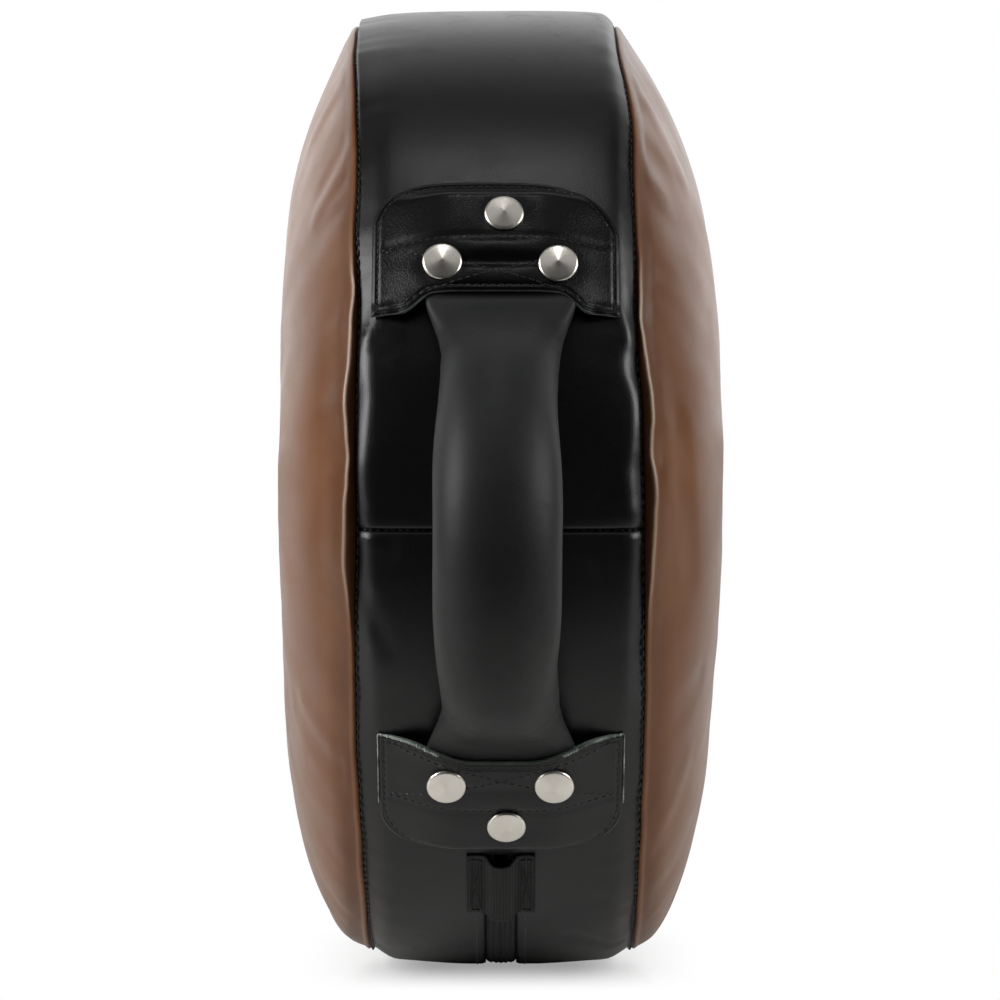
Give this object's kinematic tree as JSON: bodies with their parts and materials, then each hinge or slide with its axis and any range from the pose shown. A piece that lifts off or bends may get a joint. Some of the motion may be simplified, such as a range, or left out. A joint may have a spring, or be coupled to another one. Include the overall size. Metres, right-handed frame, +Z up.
{
  "type": "donut punching pad",
  "caption": "Thick padded ring-shaped leather punching pad with a centre hole, padded rim handles held by riveted patches, and a zip in the rim.",
  "frame": {"origin": "on the floor under the middle of the pad, which stands on its rim", "axes": "+X along the axis of the ring and its centre hole, +Y through the handles, +Z up"},
  "size_m": [0.1754, 0.5472, 0.3993],
  "materials": {
    "black_leather": "satin",
    "brown_leather": "satin",
    "lining_leather": "satin",
    "foam": "matt foam",
    "webbing": "woven",
    "nickel": "polished nickel",
    "elastic": "ribbed elastic",
    "zip_tape": "woven",
    "zip_coil": "moulded",
    "zip_metal": "black enamel"
  },
  "bodies": {
    "pad": {"face_cover_front": "brown_leather", "face_cover_back": "brown_leather", "band_upper": "black_leather", "band_lower": "black_leather", "hole_lining": "lining_leather", "foam_front": "foam", "foam_middle": "foam", "foam_back": "foam", "left_grip_leather": "black_leather", "left_grip_padding": "foam", "left_grip_strap": "webbing", "left_upper_patch": "black_leather", "left_lower_patch": "black_leather", "right_grip_leather": "black_leather", "right_grip_padding": "foam", "right_grip_strap": "webbing", "right_upper_patch": "black_leather", "right_lower_patch": "black_leather", "left_upper_rivet_inner": "nickel", "left_upper_rivet_outer": "nickel", "left_upper_rivet_end": "nickel", "left_lower_rivet_inner": "nickel", "left_lower_rivet_outer": "nickel", "left_lower_rivet_end": "nickel", "right_upper_rivet_inner": "nickel", "right_upper_rivet_outer": "nickel", "right_upper_rivet_end": "nickel", "right_lower_rivet_inner": "nickel", "right_lower_rivet_outer": "nickel", "right_lower_rivet_end": "nickel", "left_upper_washer_inner": "nickel", "left_upper_washer_outer": "nickel", "left_upper_washer_end": "nickel", "left_lower_washer_inner": "nickel", "left_lower_washer_outer": "nickel", "left_lower_washer_end": "nickel", "right_upper_washer_inner": "nickel", "right_upper_washer_outer": "nickel", "right_upper_washer_end": "nickel", "right_lower_washer_inner": "nickel", "right_lower_washer_outer": "nickel", "right_lower_washer_end": "nickel", "zip_tape_front": "zip_tape", "zip_tape_back": "zip_tape", "zip_coil_front": "zip_coil", "zip_coil_back": "zip_coil", "zip_elastic_cover": "elastic", "zip_top_stop_front": "zip_metal", "zip_top_stop_back": "zip_metal", "zip_bottom_stop": "zip_metal"},
    "slider": {"zip_slider": "zip_metal"},
    "pull": {"zip_pull": "zip_metal"}
  },
  "joints": [
    {"name": "zip_travel", "type": "hinge", "parent": "pad", "child": "slider", "pos_m": [0, 0, 0.1993], "axis": [1, 0, 0], "range_deg": [0, 88], "deforming": ["zip_tape_front", "zip_tape_back", "zip_coil_front", "zip_coil_back"]},
    {"name": "pull_swing", "type": "hinge", "parent": "slider", "child": "pull", "pos_m": [0, -0.14642, 0.06081], "axis": [-1, 0, 0], "range_deg": [0, 150], "deforming": ["zip_elastic_cover"]}
  ]
}
